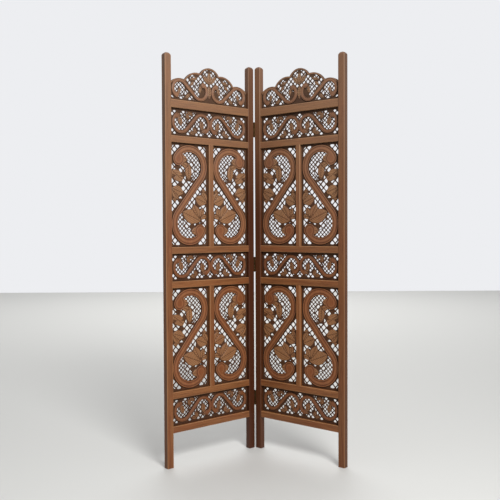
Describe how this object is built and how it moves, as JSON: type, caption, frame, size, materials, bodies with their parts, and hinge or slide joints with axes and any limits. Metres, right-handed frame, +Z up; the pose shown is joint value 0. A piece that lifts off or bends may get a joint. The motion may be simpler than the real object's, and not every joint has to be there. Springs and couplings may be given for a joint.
{
  "type": "folding screen",
  "caption": "Folding room divider of pierced and carved wooden leaves with scalloped crests, joined by butt hinges so that it stands in a V or folds flat.",
  "frame": {"origin": "on the floor, at the middle of the overall box of the screen as it stands in the picture", "axes": "+Z up, +Y from the open side of the V to the hinge line at the back, +X to the right leaf"},
  "size_m": [0.8118, 0.344, 1.829],
  "materials": {
    "frame_wood": "satin lacquer",
    "carved_wood": "satin lacquer",
    "hinge_brass": "aged",
    "screw_steel": "aged"
  },
  "bodies": {
    "left_leaf": {"left_hinge_post": "frame_wood", "left_outer_post": "frame_wood", "left_bottom_rail": "frame_wood", "left_lower_sill_rail": "frame_wood", "left_waist_bottom_rail": "frame_wood", "left_waist_top_rail": "frame_wood", "left_upper_head_rail": "frame_wood", "left_crest_rail": "frame_wood", "left_lower_mullion": "frame_wood", "left_upper_mullion": "frame_wood", "left_lower_left_panel": "carved_wood", "left_lower_right_panel": "carved_wood", "left_upper_left_panel": "carved_wood", "left_upper_right_panel": "carved_wood", "left_bottom_frieze": "carved_wood", "left_waist_frieze": "carved_wood", "left_top_frieze": "carved_wood", "left_crest_panel": "carved_wood", "left_hinge_screws": "screw_steel", "lower_hinge_left_plate": "hinge_brass", "middle_hinge_left_plate": "hinge_brass", "upper_hinge_left_plate": "hinge_brass", "lower_hinge_pin": "hinge_brass", "middle_hinge_pin": "hinge_brass", "upper_hinge_pin": "hinge_brass"},
    "right_leaf": {"right_hinge_post": "frame_wood", "right_outer_post": "frame_wood", "right_bottom_rail": "frame_wood", "right_lower_sill_rail": "frame_wood", "right_waist_bottom_rail": "frame_wood", "right_waist_top_rail": "frame_wood", "right_upper_head_rail": "frame_wood", "right_crest_rail": "frame_wood", "right_lower_mullion": "frame_wood", "right_upper_mullion": "frame_wood", "right_lower_left_panel": "carved_wood", "right_lower_right_panel": "carved_wood", "right_upper_left_panel": "carved_wood", "right_upper_right_panel": "carved_wood", "right_bottom_frieze": "carved_wood", "right_waist_frieze": "carved_wood", "right_top_frieze": "carved_wood", "right_crest_panel": "carved_wood", "right_hinge_screws": "screw_steel", "lower_hinge_right_plate": "hinge_brass", "middle_hinge_right_plate": "hinge_brass", "upper_hinge_right_plate": "hinge_brass"}
  },
  "joints": [
    {"name": "leaf_hinge", "type": "hinge", "parent": "left_leaf", "child": "right_leaf", "pos_m": [0, 0.15253, 0.887], "axis": [0, 0, 1], "range_deg": [-99.8, 80]}
  ]
}
